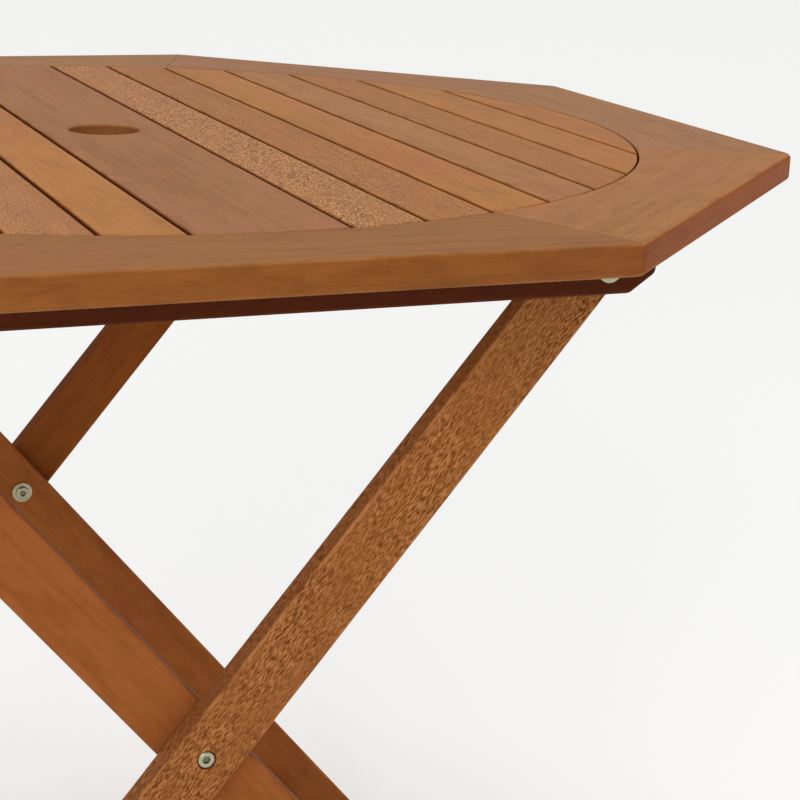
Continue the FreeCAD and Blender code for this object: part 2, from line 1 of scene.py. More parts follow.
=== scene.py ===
import json
import math
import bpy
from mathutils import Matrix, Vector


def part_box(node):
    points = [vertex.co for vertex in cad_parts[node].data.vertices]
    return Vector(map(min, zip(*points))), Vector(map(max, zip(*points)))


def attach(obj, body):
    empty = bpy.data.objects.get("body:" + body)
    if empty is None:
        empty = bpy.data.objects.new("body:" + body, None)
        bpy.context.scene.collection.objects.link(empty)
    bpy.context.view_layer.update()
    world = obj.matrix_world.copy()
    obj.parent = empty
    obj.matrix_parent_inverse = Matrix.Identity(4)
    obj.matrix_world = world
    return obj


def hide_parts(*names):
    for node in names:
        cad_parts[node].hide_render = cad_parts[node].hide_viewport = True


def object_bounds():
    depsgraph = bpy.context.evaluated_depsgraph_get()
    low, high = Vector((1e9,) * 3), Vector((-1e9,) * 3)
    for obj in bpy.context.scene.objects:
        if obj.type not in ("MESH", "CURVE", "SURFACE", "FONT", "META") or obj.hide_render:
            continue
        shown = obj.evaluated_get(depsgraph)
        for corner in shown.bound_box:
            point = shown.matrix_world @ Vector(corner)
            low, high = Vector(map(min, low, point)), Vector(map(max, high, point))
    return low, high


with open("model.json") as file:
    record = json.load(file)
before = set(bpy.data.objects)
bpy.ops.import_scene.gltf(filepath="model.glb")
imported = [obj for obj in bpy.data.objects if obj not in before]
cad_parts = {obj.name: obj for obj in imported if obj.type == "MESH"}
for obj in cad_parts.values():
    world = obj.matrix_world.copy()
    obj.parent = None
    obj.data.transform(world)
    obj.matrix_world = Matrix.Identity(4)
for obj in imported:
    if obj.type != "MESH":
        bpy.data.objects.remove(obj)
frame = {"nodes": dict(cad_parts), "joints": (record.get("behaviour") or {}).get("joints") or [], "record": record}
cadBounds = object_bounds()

import zlib

import bpy
import numpy as np
from mathutils import Matrix, Vector

bpy.context.scene.view_settings.view_transform = "Standard"
joints = {joint["name"]: joint for joint in frame["joints"]}
railPivot = np.array(joints["fold"]["pos_m"])
crossing = np.array(joints["crossing"]["pos_m"])
legAngle = math.atan2(railPivot[2] - crossing[2], railPivot[0] - crossing[0])
bodyOf = {node: body for body, nodes in frame["record"]["behaviour"]["bodies"].items() for node in nodes}


# camera: where it stands and how it is turned
view = {
    "place": (-0.3499, -1.3883, 0.9537),
    "azimuth": -22.819,
    "elevation": 15.959,
    "roll": 2.040,
    "lens": 90.4,
    "sensor": 36.0,
}


def placeCamera():
    azimuth, elevation, roll = (math.radians(view[key]) for key in ("azimuth", "elevation", "roll"))
    back = Vector((math.sin(azimuth) * math.cos(elevation), -math.cos(azimuth) * math.cos(elevation),
                   math.sin(elevation)))
    level = Vector((math.cos(azimuth), math.sin(azimuth), 0))
    upright = back.cross(level)
    right = level * math.cos(roll) + upright * math.sin(roll)
    up = upright * math.cos(roll) - level * math.sin(roll)
    turned = Matrix((right, up, back)).transposed().to_4x4()
    camera = bpy.data.objects.new("camera", bpy.data.cameras.new("camera"))
    camera.data.lens = view["lens"]
    camera.data.sensor_width = view["sensor"]
    camera.data.clip_end = 500
    camera.matrix_world = Matrix.Translation(view["place"]) @ turned
    bpy.context.scene.collection.objects.link(camera)
    bpy.context.scene.camera = camera
    print("camera done")


# light: white all round, a very soft sun almost overhead and one broad lamp in front
lamps = {
    "sky": 0.55,
    "backdrop": 0.88,                 # how bright the sky looks from the camera; it lights nothing
    "sun": {"place": (0.5, 0.9, 3.0), "aim": (0.0, 0.0, 0.0), "spread": 75.0, "power": 1.45},
    "front": {"place": (-1.5, -2.9, 2.0), "aim": (0.0, 0.0, 0.40), "size": 1.8, "power": 46.0},
}


def lightScene():
    world = bpy.data.worlds.new("white")
    world.use_nodes = True
    background = world.node_tree.nodes["Background"]
    background.inputs["Color"].default_value = (1, 1, 1, 1)
    seen = Wire(world.node_tree).node("ShaderNodeLightPath", out="Is Camera Ray")
    strength = seen * (lamps["backdrop"] - lamps["sky"]) + lamps["sky"]
    strength.into(background, "Strength")
    bpy.context.scene.world = world
    for name, kind in (("sun", "SUN"), ("front", "AREA")):
        values = lamps[name]
        lamp = bpy.data.objects.new(name, bpy.data.lights.new(name, kind))
        lamp.data.energy = values["power"]
        if kind == "SUN":
            lamp.data.angle = math.radians(values["spread"])
        else:
            lamp.data.size = values["size"]
        lamp.location = values["place"]
        aim = Vector(values["aim"]) - Vector(values["place"])
        lamp.rotation_euler = aim.to_track_quat("-Z", "Y").to_euler()
        bpy.context.scene.collection.objects.link(lamp)
    print("light done")


# shader sums: a node's socket that takes part in plain expressions
class Wire:
    def __init__(self, tree, socket=None):
        self.tree = tree
        self.socket = socket

    def node(self, kind, settings=None, values=None, out=0):
        made = self.tree.nodes.new(kind)
        for key, value in (settings or {}).items():
            setattr(made, key, value)
        for key, value in (values or {}).items():
            if isinstance(value, Wire):
                self.tree.links.new(value.socket, made.inputs[key])
            else:
                made.inputs[key].default_value = value
        return Wire(self.tree, made.outputs[out])

    def sum(self, operation, *values):
        return self.node("ShaderNodeMath", {"operation": operation}, dict(enumerate(values)))

    def __add__(self, other):
        return self.sum("ADD", self, other)

    def __radd__(self, other):
        return self.sum("ADD", other, self)

    def __sub__(self, other):
        return self.sum("SUBTRACT", self, other)

    def __rsub__(self, other):
        return self.sum("SUBTRACT", other, self)

    def __mul__(self, other):
        return self.sum("MULTIPLY", self, other)

    def __rmul__(self, other):
        return self.sum("MULTIPLY", other, self)

    def __abs__(self):
        return self.sum("ABSOLUTE", self)

    def step(self, low, high):        # 0 below low, 1 above high, smooth between
        return self.node("ShaderNodeMapRange", {"interpolation_type": "SMOOTHSTEP"},
                         {"Value": self, "From Min": low, "From Max": high})

    def stretch(self, scales):        # a vector times three numbers
        return self.node("ShaderNodeVectorMath", {"operation": "MULTIPLY"}, {0: self, 1: scales})

    def length(self):
        return self.node("ShaderNodeVectorMath", {"operation": "LENGTH"}, {0: self}, out="Value")

    def part(self, axis):             # one of a vector's three numbers
        return self.node("ShaderNodeSeparateXYZ", {}, {0: self}, out=axis)

    def noise(self, detail=2.0, rough=0.5, bend=0.0):
        return self.node("ShaderNodeTexNoise", {}, {"Vector": self, "Scale": 1.0, "Detail": detail,
                                                   "Roughness": rough, "Distortion": bend})

    def blend(self, first, second):   # colours: first where self is 0, second where it is 1
        return self.node("ShaderNodeMix", {"data_type": "RGBA"}, {0: self, 6: first, 7: second}, out=2)

    def multiplied(self, mask, factors):      # a colour times three factors where the mask is 1
        return self.node("ShaderNodeMix", {"data_type": "RGBA", "blend_type": "MULTIPLY"},
                         {0: mask, 6: self, 7: (*factors, 1)}, out=2)

    def into(self, shader, name):
        self.tree.links.new(self.socket, shader.inputs[name])


def freshMaterial(name):
    material = bpy.data.materials.new(name)
    material.use_nodes = True
    tree = material.node_tree
    return material, tree.nodes["Principled BSDF"], Wire(tree)


def luck(name, count):                # the same few numbers, 0 to 1, each time for a name
    return np.random.default_rng(zlib.crc32(name.encode())).random(count)


# stains: the middle colour of a board under each
stains = {
    "khaki": (0.272, 0.098, 0.018),
    "tan": (0.342, 0.134, 0.038),
    # painted sheen: tan made paler and bluer for ring board 8, in place of the shine its low gloss takes away
    "tanWithSheen": (0.352, 0.150, 0.048),
    "rosy": (0.308, 0.116, 0.036),
    # painted sheen: a bluer, less saturated tone for the far ring boards, which are seen at a grazing angle
    "farSheen": (0.297, 0.131, 0.045),
    "honey": (0.365, 0.136, 0.026),
    "amber": (0.330, 0.122, 0.024),
    "oat": (0.350, 0.138, 0.036),
    "russet": (0.282, 0.102, 0.027),
    "copper": (0.286, 0.090, 0.022),
    "umber": (0.262, 0.074, 0.014),
    # painted shade: umber made darker for the far outer leg, which stands under the table
    "shadedUmber": (0.243, 0.069, 0.015),
    # much darker than the other stains: partly a darker stain, partly painted shade for the rails under the top's
    # overhang
    "walnutAndShade": (0.078, 0.016, 0.003),
    "beech": (0.520, 0.330, 0.160),
}

# boards: how each looks, by the start of its name; the longest start that fits counts.
# flecks is how strong its speckle is, wear how pale its edges are (partly rubbed stain, partly a painted
# highlight), gloss how much it shines, and side the share of the stain that is left on a ring board's outer face,
# as painted shade
boards = {
    "ring_board": {"stain": "tan", "grain": "ring"},
    "ring_board_7": {"stain": "khaki", "grain": "ring"},
    # ring board 8: little real shine, its sheen painted into a paler, bluer stain, and its outer face darkened
    # further as painted shade
    "ring_board_8": {"stain": "tanWithSheen", "grain": "ring", "gloss": 0.05, "side": (0.78, 0.47, 0.24)},
    # far ring boards 1 to 3: painted sheen in their stain
    "ring_board_1": {"stain": "farSheen", "grain": "ring"},
    "ring_board_2": {"stain": "farSheen", "grain": "ring"},
    "ring_board_3": {"stain": "farSheen", "grain": "ring"},
    "middle_plank": {"stain": "rosy", "grain": "along"},
    "slat_": {"stain": "honey", "grain": "along"},
    "slat_right_1": {"stain": "oat", "grain": "along", "flecks": 1.25, "fleckSize": 1.7},
    "slat_right_2": {"stain": "amber", "grain": "along", "flecks": 0.60, "fleckSize": 1.7},
    "slat_right_4": {"stain": "oat", "grain": "along"},
    "slat_right_5": {"stain": "amber", "grain": "along", "flecks": 0.25, "fleckSize": 1.5},
    "slat_left_2": {"stain": "oat", "grain": "along", "flecks": 0.70, "fleckSize": 1.5},
    "slat_left_4": {"stain": "amber", "grain": "along", "flecks": 0.35, "fleckSize": 1.7},
    "slat_left_6": {"stain": "amber", "grain": "along", "flecks": 0.45, "fleckSize": 1.5},
    "outer_leg_front": {"stain": "russet", "grain": "leg", "flecks": 1.4, "fleckLength": 2.2, "wearAndHighlight": 0.8,
                        "gloss": 0.02},
    # the far outer leg's stain carries painted shade
    "outer_leg_back": {"stain": "shadedUmber", "grain": "leg", "gloss": 0.02},
    "inner_leg_front": {"stain": "copper", "grain": "leg", "gloss": 0.02},
    "inner_leg_back": {"stain": "copper", "grain": "leg", "gloss": 0.02},
    "outer_foot_rail": {"stain": "umber", "grain": "foot"},
    "inner_foot_rail": {"stain": "copper", "grain": "foot"},
    "top_bar": {"stain": "umber", "grain": "along"},
    # the rails' stain carries painted shade from the top's overhang
    "rail_front": {"stain": "walnutAndShade", "grain": "across", "gloss": 0.06},
    "rail_back": {"stain": "walnutAndShade", "grain": "across", "gloss": 0.06},
    "batten": {"stain": "umber", "grain": "across"},
    "stop_block": {"stain": "umber", "grain": "along"},
    "mitre_dowels": {"stain": "beech", "grain": "across"},
}

# hardwood: every board has its own piece of this pattern, turned along its grain; waves in a metre
hardwood = {
    "drift": (2.2, 18.0, 18.0),
    "hue": (3.5, 9.0, 9.0),
    "mottle": (28.0, 95.0, 95.0),
    "streaks": (4.0, 150.0, 150.0),
    "fibres": (30.0, 1000.0, 1000.0),
    "pores": (130.0, 1500.0, 1500.0),
    "flecks": (520.0, 1650.0, 1650.0),
    "fleckPatches": (9.0, 34.0, 34.0),
    "spread": (40.0, 7.0, 7.0),       # how far apart two boards' pieces of the pattern may lie
    "hueBand": (0.36, 0.64),          # noise values between which gold turns to rose
    "layers": (                       # pattern, noise where the tint starts and is full, share, tint
        ("drift", 0.35, 0.75, 0.34, "light"),
        ("drift", 0.50, 0.25, 0.22, "dark"),
        ("mottle", 0.42, 0.72, 0.32, "light"),
        ("mottle", 0.50, 0.30, 0.24, "dark"),
        ("streaks", 0.46, 0.72, 0.24, "dark"),
        ("fibres", 0.40, 0.75, 0.16, "dark"),
    ),
    "poreBand": (0.63, 0.71),
    "poreShare": 0.34,
    "ringSpacing": 0.0060,
    "ringWander": 0.012,
    "ringBand": (0.35, 0.65),         # yearly rings show where the drift is above this
    "ringShare": 0.08,
    "pithDistance": 0.085,
    "pithDepth": 0.02,
    "fleckLightBand": (0.50, 0.60),
    "fleckLightShare": 0.70,
    "fleckDarkBand": (0.40, 0.50),
    "fleckDarkShare": 0.72,
    "patchBand": (0.28, 0.62),
    "patchShare": 0.6,                # how much weaker the flecks are between their patches
    "dark": (0.58, 0.50, 0.40),       # tints, as shares of the stain
    "light": (1.26, 1.30, 1.36),
    "rose": (1.02, 0.97, 1.08),
    "gold": (0.99, 1.03, 0.92),
    "fleckDark": (0.46, 0.38, 0.26),
    "fleckLight": (1.65, 1.85, 2.45),
    "gapPaintedShade": (0.42, 0.20, 0.13),   # painted shade: what is left of the stain deep in a gap, where little light reaches
    "sidePaintedShade": (0.86, 0.74, 0.78),  # painted shade: what is left of the stain on the ring's outer faces, darker than the tops because of how the light falls
    "wearAndHighlightStart": 0.0024,              # pale edges, partly rubbed stain and partly a painted highlight; from a board's edge inwards
    "wearAndHighlightFull": 0.0007,
    "wearAndHighlightBand": (0.40, 0.60),
    "relief": {"fibres": 0.5, "streaks": 0.4, "pores": 0.5, "flecks": 0.9},
    "bumpDepth": 0.00016,
    "roughness": 0.38,                # least; the figure adds to it
    "rougher": {"streaks": 0.12, "pores": 0.14, "fibres": 0.10, "mottle": 0.10},
    "gloss": 0.11,
}

# sizes that the wood's shades follow, in metres
top = {
    "ringWidth": 0.0735,
    "thickness": 0.019,
    "endGap": 0.0013,
    "arris": 0.0011,
    "holeRadius": 0.025,
    "rimStart": 0.0018,               # the outer face's painted shade starts this far inside it
    "rimFull": 0.0004,
    "wallNear": 0.0001,               # a wall's painted shade is full this far from it and gone at the next
    "wallFar": 0.0006,
    # share of the painted shade on the parasol hole's wall
    "holeShare": 0.5,
}
halfSizes = {"ring": 0.2, "leg": (0.5, 0.009, 0.0215), "foot": (0.27, 0.0215, 0.009)}


# colour = stain, moved darker, lighter, rosier and more golden by noise stretched along the grain, with paler
# edges (partly rubbed, partly a painted highlight) and painted shade in the top's gaps
def woodMaterial(name, centre, turn, half, board, edges):
    look = hardwood
    stain = np.array(stains[board["stain"]]) * (0.97 + 0.06 * luck(name + "tone", 1)[0])
    tints = {key: (*np.minimum(stain * look[key], 1), 1)
             for key in ("dark", "light", "rose", "gold", "fleckDark", "fleckLight")}
    material, shader, start = freshMaterial("wood_" + name)
    spot = start.node("ShaderNodeTexCoord", out="Object")
    grain = start.node("ShaderNodeMapping", {"vector_type": "TEXTURE"},
                       {"Vector": spot, "Location": tuple(centre), "Rotation": tuple(turn)})
    chance = luck(name, 6)
    away = (look["spread"][0] * chance[0] + 3, look["spread"][1] * chance[1], look["spread"][2] * chance[2])
    moved = grain.node("ShaderNodeVectorMath", {"operation": "ADD"}, {0: grain, 1: away})

    drift = moved.stretch(look["drift"]).noise(2.0, 0.5, 0.4)
    hue = moved.stretch(look["hue"]).noise(1.0, 0.5)
    mottle = moved.stretch(look["mottle"]).noise(2.0, 0.55, 0.5)
    streaks = moved.stretch(look["streaks"]).noise(3.0, 0.6, 0.25)
    fibres = moved.stretch(look["fibres"]).noise(2.0, 0.6)
    pores = moved.stretch(look["pores"]).noise(1.0, 0.5).step(*look["poreBand"])
    patterns = {"drift": drift, "mottle": mottle, "streaks": streaks, "fibres": fibres}

    # yearly rings: a sine of the distance from the pith, which wanders with the drift
    pithAngle = 2 * math.pi * chance[3]
    pithAway = look["pithDistance"] * (0.6 + chance[4])
    pith = (0.0, pithAway * math.cos(pithAngle), pithAway * abs(math.sin(pithAngle)) + look["pithDepth"])
    fromPith = grain.node("ShaderNodeVectorMath", {"operation": "SUBTRACT"}, {0: grain, 1: pith})
    distance = fromPith.stretch((0, 1, 1)).length()
    phase = (distance + drift * look["ringWander"]) * (2 * math.pi / look["ringSpacing"])
    rings = phase.sum("SINE", phase) * 0.5 + 0.5

    colour = hue.step(*look["hueBand"]).blend(tints["gold"], tints["rose"])
    for pattern, begins, full, share, tint in look["layers"]:
        mask = patterns[pattern].step(min(begins, full), max(begins, full))
        mask = mask if begins < full else 1 - mask
        colour = (mask * share).blend(colour, tints[tint])
    colour = (rings * drift.step(*look["ringBand"]) * look["ringShare"]).blend(colour, tints["dark"])
    colour = (pores * look["poreShare"]).blend(colour, tints["dark"])
    relief = look["relief"]
    height = fibres * relief["fibres"] + streaks * relief["streaks"] - pores * relief["pores"]
    strength = board.get("flecks", 0.0)
    if strength:
        waves = np.array(look["flecks"]) / board.get("fleckSize", 1.0)
        waves = (waves[0] / board.get("fleckLength", 1.0), waves[1], waves[2])
        flecks = moved.stretch(waves).noise(1.0, 0.5, 0.6)
        patch = moved.stretch(look["fleckPatches"]).noise(1.0, 0.5).step(*look["patchBand"])
        patch = patch * look["patchShare"] + (1 - look["patchShare"])
        pale = flecks.step(*look["fleckLightBand"]) * patch
        deep = (1 - flecks.step(*look["fleckDarkBand"])) * patch
        colour = (pale * (look["fleckLightShare"] * strength)).blend(colour, tints["fleckLight"])
        colour = (deep * (look["fleckDarkShare"] * strength)).blend(colour, tints["fleckDark"])
        height = height + flecks * (relief["flecks"] * strength)

    # pale eased edges: partly rubbed stain, partly a painted highlight along the arrises
    sideways = grain.part("Y") if edges == "ring" else abs(grain.part("Y"))
    wearAndHighlight = sideways.step(half[1] - look["wearAndHighlightStart"], half[1] - look["wearAndHighlightFull"])
    wearAndHighlight = wearAndHighlight * abs(grain.part("Z")).step(half[2] - look["wearAndHighlightStart"], half[2] - look["wearAndHighlightFull"])
    wearAndHighlight = wearAndHighlight * mottle.step(*look["wearAndHighlightBand"]) * board.get("wearAndHighlight", 0.25)
    colour = wearAndHighlight.blend(colour, tints["fleckLight"])
    # painted shade on the walls of the top's gaps, the parasol hole and the ring's outer faces
    if edges:
        colour = paintShadeOnWalls(colour, spot, grain, half, board, edges, stain * look["gapPaintedShade"])
    colour.into(shader, "Base Color")

    rougher = look["rougher"]
    rough = streaks * rougher["streaks"] + pores * rougher["pores"] + fibres * rougher["fibres"]
    rough = rough + mottle * rougher["mottle"] + look["roughness"]
    rough.into(shader, "Roughness")
    bump = height.node("ShaderNodeBump", values={"Height": height, "Distance": look["bumpDepth"],
                                                 "Strength": 1.0})
    bump.into(shader, "Normal")
    shader.inputs["Specular IOR Level"].default_value = board.get("gloss", look["gloss"])
    return material


# painted shade: darkens a board's walls in the gaps of the top and in the parasol hole, from just under the eased
# edges down, and a ring board's outer face; distances from the middle of the top are flat ones
def paintShadeOnWalls(colour, spot, grain, half, board, edges, shade):
    near, far = top["wallNear"], top["wallFar"]
    flatPlace = spot.stretch((1, 1, 0)).length()
    opening = cadBounds[1][0] - top["ringWidth"]
    if edges == "ring":
        wall = 1 - flatPlace.step(opening + near, opening + far)
        # painted shade on a ring board's outer face
        outside = grain.part("Y").step(half[1] - top["rimStart"], half[1] - top["rimFull"])
        colour = colour.multiplied(outside, board.get("side", hardwood["sidePaintedShade"]))
    else:
        slatEnd = opening - top["endGap"]
        wall = abs(grain.part("Y")).step(half[1] - far, half[1] - near)
        ends = flatPlace.step(slatEnd - far, slatEnd - near)
        hole = 1 - flatPlace.step(top["holeRadius"] + near, top["holeRadius"] + far)
        wall = wall.sum("MAXIMUM", wall, ends)
        wall = wall.sum("MAXIMUM", wall, hole * top["holeShare"])
    surface = top["thickness"] / 2
    below = 1 - grain.part("Z").step(surface - 2 * top["arris"], surface - 0.6 * top["arris"])
    return (wall * below).blend(colour, (*shade, 1))


def paint(node, material):
    piece = frame["nodes"][node]
    piece.data.materials.clear()
    piece.data.materials.append(material)


def finishWood():
    quarter = math.pi / 2
    for node in frame["nodes"]:
        starts = [start for start in boards if node.startswith(start)]
        if not starts:
            continue
        board = boards[max(starts, key=len)]
        low, high = (np.array(corner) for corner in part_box(node))
        centre, size = (low + high) / 2, (high - low) / 2
        lean = legAngle if node.startswith("outer") else math.pi - legAngle
        edges = ""
        if board["grain"] == "ring":
            angle = (int(node.split("_")[-1]) - 1) * quarter / 2
            middle = cadBounds[1][0] - top["ringWidth"] / 2
            place = (middle * math.cos(angle), middle * math.sin(angle), centre[2])
            turn = (0, 0, angle - quarter)        # local Y points outwards
            half, edges = (halfSizes["ring"], top["ringWidth"] / 2, size[2]), "ring"
        elif board["grain"] == "along":
            place, turn, half = centre, (0, 0, quarter), (size[1], size[0], size[2])
            edges = "slat" if node.startswith(("slat", "middle")) else ""
        elif board["grain"] == "across":
            place, turn, half = centre, (0, 0, 0), tuple(size)
        elif board["grain"] == "leg":
            place, turn, half = (crossing[0], centre[1], crossing[2]), (0, -lean, 0), halfSizes["leg"]
        else:
            place, turn, half = centre, (math.pi - lean, 0, quarter), halfSizes["foot"]
        paint(node, woodMaterial(node, place, turn, half, board, edges))
    print("wood done")


# zinc plate: metal with a faint change from straw to green, and fine marks left by turning
zinc = {
    "straw": (0.46, 0.41, 0.28, 1),
    "green": (0.37, 0.39, 0.27, 1),
    "rose": (0.50, 0.40, 0.33, 1),
    "grime": (0.10, 0.08, 0.05, 1),
    "strawBand": (0.38, 0.60),            # noise values between which a tint comes in
    "roseBand": (0.58, 0.72),
    "roseShare": 0.6,
    "grimeBand": (0.56, 0.74),
    "grimeShare": 0.35,
    "socketDepth": (0.0002, 0.0006),      # darker below this depth, inside the next radius
    "socketRadius": (0.0023, 0.0026),
    "socketDarkening": 0.75,
    "roughness": 0.17,                    # least; marks, grime and tint add to it
    "rougher": {"marks": 0.26, "grime": 0.22, "tint": 0.08},
    "tint": (240.0, 240.0, 240.0),        # waves in a metre
    "scratches": (900.0, 900.0, 900.0),
    "stains": (700.0, 700.0, 700.0),
    "turning": (5200.0, 5200.0, 6.0),     # waves in a metre along and aside, and in a turn
    "turningShare": 0.65,
    "bumpDepth": 0.00004,
    "bumpStrength": 0.8,
}


# turned pieces carry the attribute "lathe": place along the axis, distance from it, share of a turn
def zincMaterial(name, turned):
    look = zinc
    material, shader, start = freshMaterial("zinc_" + name)
    spot = start.node("ShaderNodeTexCoord", out="Object")
    tint = spot.stretch(look["tint"]).noise(2.0, 0.5, 0.5)
    marks = spot.stretch(look["scratches"]).noise(4.0, 0.65, 0.6)
    if turned:
        lathe = start.node("ShaderNodeAttribute", {"attribute_name": "lathe"}, out="Vector")
        turning = lathe.stretch(look["turning"]).noise(2.0, 0.6)
        marks = marks * (1 - look["turningShare"]) + turning * look["turningShare"]
    colour = tint.step(*look["strawBand"]).blend(look["green"], look["straw"])
    colour = (tint.step(*look["roseBand"]) * look["roseShare"]).blend(colour, look["rose"])
    stained = spot.stretch(look["stains"]).noise(3.0, 0.6).step(*look["grimeBand"])
    colour = (stained * look["grimeShare"]).blend(colour, look["grime"])
    if turned:
        # darker inside the socket
        deep = lathe.part("X").step(*look["socketDepth"]) * (1 - lathe.part("Y").step(*look["socketRadius"]))
        colour = (deep * look["socketDarkening"]).blend(colour, look["grime"])
    colour.into(shader, "Base Color")
    rougher = look["rougher"]
    rough = marks * rougher["marks"] + stained * rougher["grime"] + tint * rougher["tint"] + look["roughness"]
    rough.into(shader, "Roughness")
    bump = marks.node("ShaderNodeBump", values={"Height": marks, "Distance": look["bumpDepth"],
                                                "Strength": look["bumpStrength"]})
    bump.into(shader, "Normal")
    shader.inputs["Metallic"].default_value = 1.0
    return material


crossArm = 0.26                       # half an arm's width, as a share of its length


# distance to a hexagon's side at each angle, as a share of its inner radius
def hexagonReach(angle):
    return 1 / np.cos(angle % (math.pi / 3) - math.pi / 6)


# the same for a cross whose arms are one long: the nearer of an arm's end and its side
def crossReach(angle):
    turn = np.abs((angle + math.pi / 4) % (math.pi / 2) - math.pi / 4)
    return np.minimum(1 / np.cos(turn), crossArm / np.maximum(np.sin(turn), 0.02))


# turned piece: for each row (distance, radius, share) and each angle t, the point is the row's distance along
# the axis and radius * (1 - share + share * reach(t)) away from it; between its ends, a thread takes off
# its depth times a wave of distance / pitch - t / full turn
def turnedPoints(rows, place, axis, around, reach=hexagonReach, thread=None):
    axis = np.array(axis, float) / np.linalg.norm(axis)
    first = np.cross(axis, (0, 0, 1) if abs(axis[2]) < 0.9 else (1, 0, 0))
    first /= np.linalg.norm(first)
    second = np.cross(axis, first)
    angle = np.linspace(0, 2 * math.pi, around, endpoint=False)
    distance, radius, share = (column[:, None] for column in np.array(rows, float).T)
    away = radius * (1 - share + share * reach(angle))
    if thread:
        wave = np.abs((distance / thread["pitch"] - angle / (2 * math.pi)) % 1 - 0.5) * 2
        inside = (distance > thread["start"]) & (distance < thread["end"])
        away = away - inside * thread["depth"] * np.clip(1.25 - 1.5 * wave, 0, 1)
    along = distance + 0 * away
    points = (np.array(place) + along[..., None] * axis + (away * np.cos(angle))[..., None] * first
              + (away * np.sin(angle))[..., None] * second)
    lathe = np.stack([along, away, angle / (2 * math.pi) + 0 * away], -1)
    return points, lathe


# faces between neighbouring rows and angles; a closed profile joins its last row to its first,
# an open one has its first and last rows drawn together into one point each
def turnedFaces(shape, closed):
    rows, around = shape
    number = np.arange(rows * around).reshape(rows, around)
    number = np.concatenate([number, number[:1]]) if closed else number
    if not closed:
        number[0], number[-1] = number[0, 0], number[-1, 0]
    beside = np.roll(number, -1, axis=1)
    quads = np.stack([number[:-1], beside[:-1], beside[1:], number[1:]], -1).reshape(-1, 4)
    return quads


def makeTurned(name, body, nodes, parts, closed=False):
    points, lathe, faces, count = [], [], [], 0
    for spots, marks in parts:
        quads = turnedFaces(spots.shape[:2], closed)
        points.append(spots.reshape(-1, 3))
        lathe.append(marks.reshape(-1, 3))
        faces.append(quads + count)
        count += len(points[-1])
    points, lathe, faces = (np.concatenate(group) for group in (points, lathe, faces))
    used, back = np.unique(faces, return_inverse=True)
    faces = back.reshape(faces.shape)
    mesh = bpy.data.meshes.new(name)
    rows = [tuple(dict.fromkeys(row)) for row in faces.tolist()]
    mesh.from_pydata(points[used].tolist(), [], rows)
    attribute = mesh.attributes.new("lathe", "FLOAT_VECTOR", "POINT")
    attribute.data.foreach_set("vector", lathe[used].astype(np.float32).ravel())
    mesh.set_sharp_from_angle(angle=math.radians(32))
    mesh.materials.append(zincMaterial(name, True))
    piece = bpy.data.objects.new(name, mesh)
    bpy.context.scene.collection.objects.link(piece)
    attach(piece, body)
    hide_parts(*nodes)
    return piece


# bolts and nuts: flat heads with softened rims and hexagon sockets
bolt = {
    "headRadius": 0.0056,
    "headHeight": 0.0030,
    "socket": 0.00225,
    "socketDepth": 0.0019,
    "shank": 0.0030,
    "threadDepth": 0.00045,
    "pitch": 0.0010,
    "sleeve": 0.0040,
    "sleeveLength": 0.0110,
    "around": 72,
}


# rows from the socket's floor, up its wall, over the head's rounded rim and down to its underside
def headRows(look):
    wide, tall, hexa, deep = look["headRadius"], look["headHeight"], look["socket"], look["socketDepth"]
    return [(deep + 0.0004, 0, 1), (deep, hexa * 0.97, 1), (0.00035, hexa, 1), (0.00005, hexa * 1.12, 0.7),
            (0, hexa * 1.22, 0.3), (0, wide * 0.82, 0), (0.00004, wide * 0.86, 0), (0.00016, wide * 0.91, 0),
            (0.00042, wide * 0.965, 0), (0.00080, wide * 0.995, 0), (0.00105, wide, 0),
            (tall - 0.0003, wide, 0), (tall - 0.00005, wide * 0.97, 0), (tall, wide * 0.94, 0)]


# four rows to each turn of a thread
def threadRows(start, end, radius, pitch):
    places = np.arange(start, end, pitch / 4)
    return [(place, radius, 0) for place in places]


def makeBolts():
    look = bolt
    for joint in ("rail_pivot", "crossing"):
        for where, side in (("front", 1), ("back", -1)):
            node = f"{joint}_bolt_{where}"
            low, high = (np.array(corner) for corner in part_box(node))
            length = high[1] - low[1]
            crown = ((low[0] + high[0]) / 2, low[1] if side > 0 else high[1], (low[2] + high[2]) / 2)
            start, end = length - 0.014, length - 0.0006
            rows = headRows(look) + [(look["headHeight"], look["shank"] * 1.12, 0),
                                     (look["headHeight"] + 0.0003, look["shank"], 0)]
            rows += threadRows(start, end, look["shank"], look["pitch"])
            rows += [(length - 0.0005, look["shank"] * 0.93, 0), (length, look["shank"] * 0.78, 0),
                     (length, 0, 0)]
            thread = {"pitch": look["pitch"], "start": start, "end": end, "depth": look["threadDepth"]}
            parts = [turnedPoints(rows, crown, (0, side, 0), look["around"], thread=thread)]
            makeTurned(f"{joint}_socket_bolt_{where}", bodyOf[node], [node], parts)

            node = f"{joint}_nut_{where}"
            low, high = (np.array(corner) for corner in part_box(node))
            crown = ((low[0] + high[0]) / 2, high[1] if side > 0 else low[1], (low[2] + high[2]) / 2)
            mouth = look["headHeight"] + look["sleeveLength"]
            rows = headRows(look) + [(look["headHeight"], look["sleeve"] * 1.08, 0),
                                     (look["headHeight"] + 0.0003, look["sleeve"], 0),
                                     (mouth - 0.0004, look["sleeve"], 0), (mouth, look["sleeve"] * 0.93, 0),
                                     (mouth, look["shank"] * 1.12, 0), (mouth - 0.0004, look["shank"], 0),
                                     (look["headHeight"] + 0.0006, look["shank"], 0),
                                     (look["headHeight"] + 0.0001, look["shank"] * 0.9, 0),
                                     (look["headHeight"], 0, 0)]
            parts = [turnedPoints(rows, crown, (0, -side, 0), look["around"])]
            makeTurned(f"{joint}_sleeve_nut_{where}", bodyOf[node], [node], parts)
    print("bolts done")


